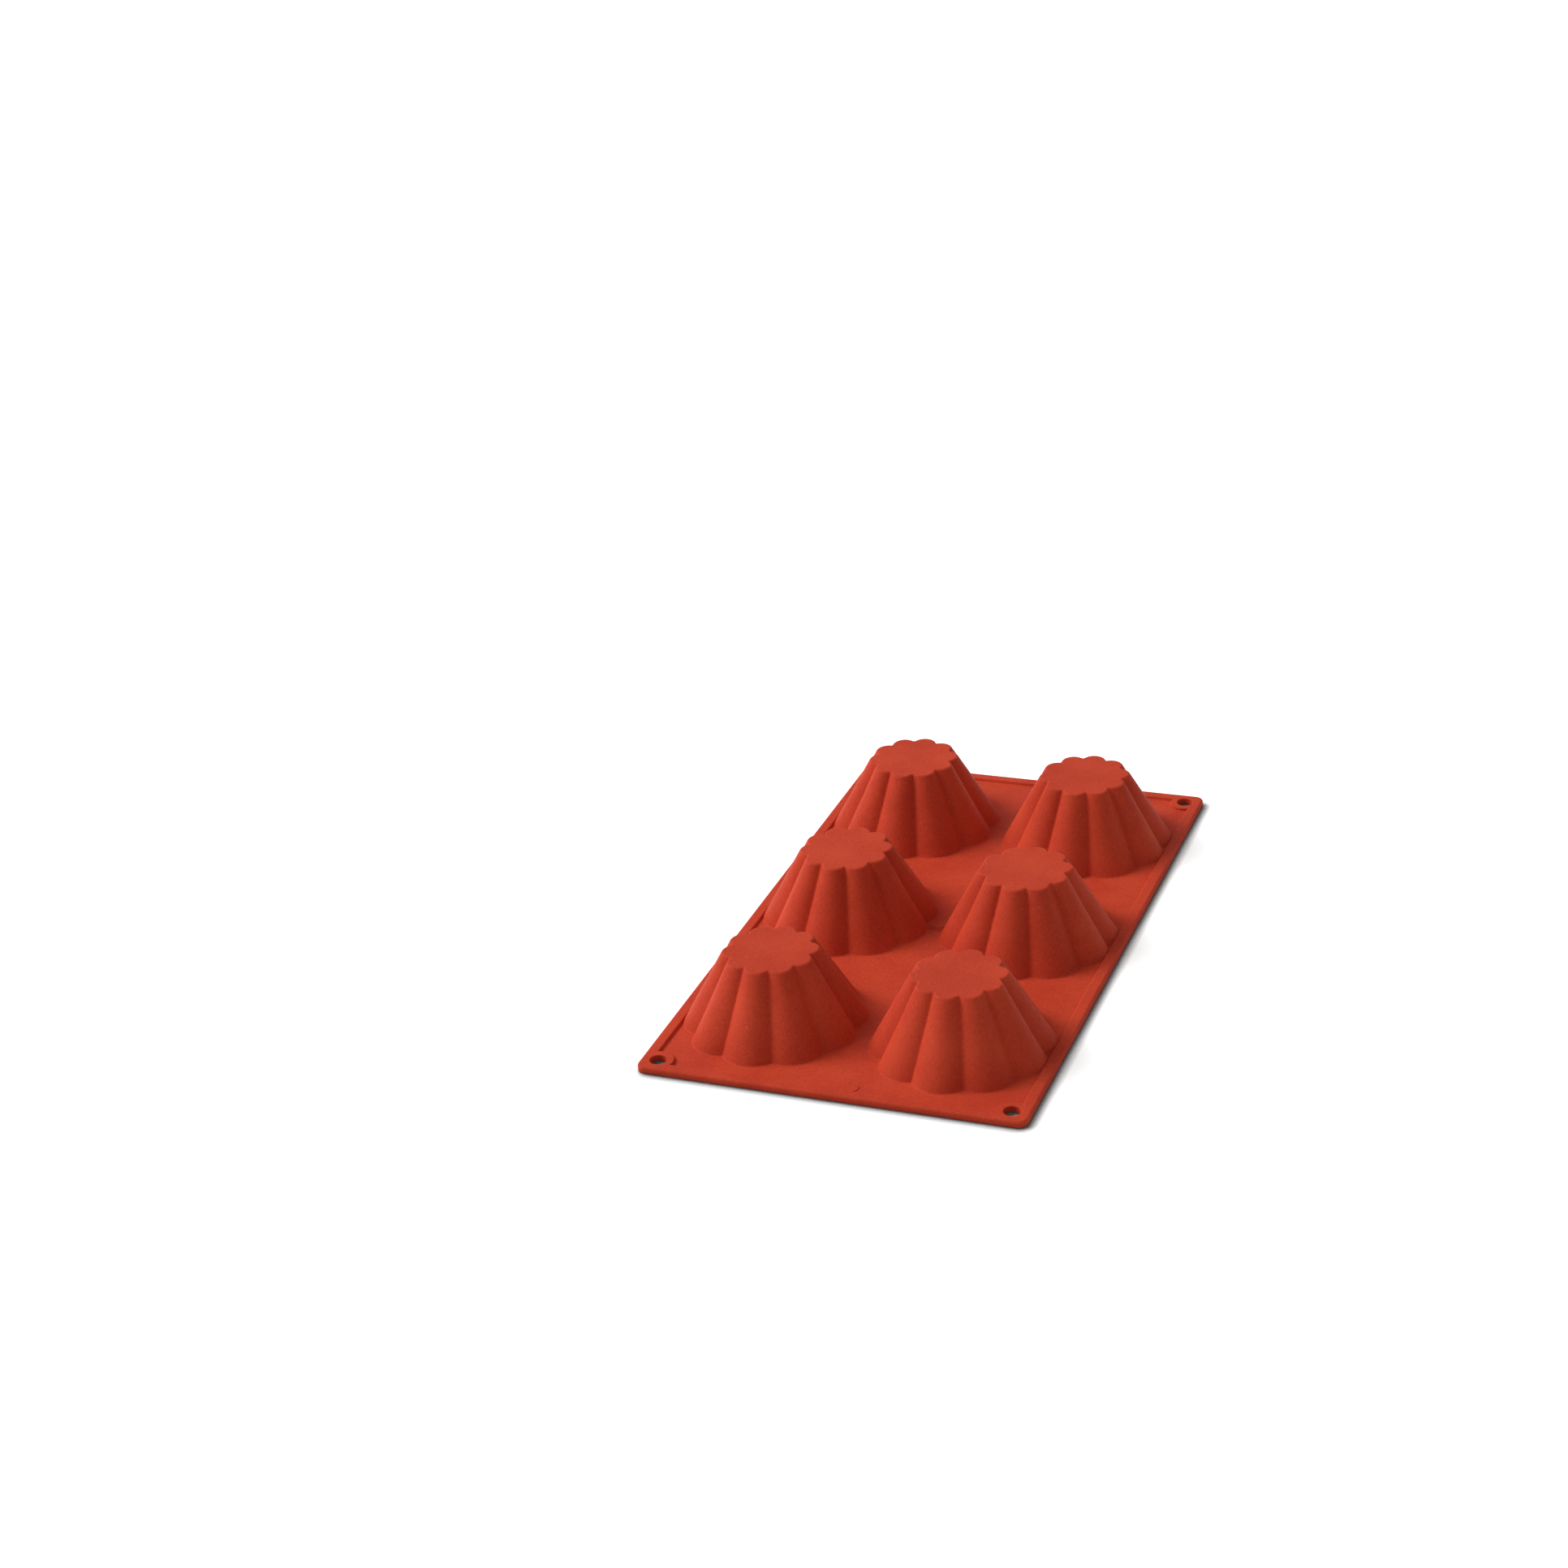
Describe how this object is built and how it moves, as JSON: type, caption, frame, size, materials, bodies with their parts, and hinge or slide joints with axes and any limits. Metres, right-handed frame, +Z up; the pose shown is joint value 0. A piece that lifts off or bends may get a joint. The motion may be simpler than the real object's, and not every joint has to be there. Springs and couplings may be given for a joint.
{
  "type": "silicone brioche mould",
  "caption": "One-piece silicone mould lying face down: a thin oblong plate with a raised rim band, corner holes, and rows of tapering fluted cups that stand up from it.",
  "frame": {"origin": "middle of the pouring face, which lies on the surface below: bottom centre of the bounding box", "axes": "+X along the long side, in line with a row of cups; +Y across the rows; +Z up, from the pouring face towards the closed ends of the cups"},
  "size_m": [0.3, 0.175, 0.037],
  "materials": {
    "silicone": "matt terracotta red silicone rubber, glossy inside the cups"
  },
  "bodies": {
    "root": {"brioche_mould": "silicone"}
  },
  "joints": []
}
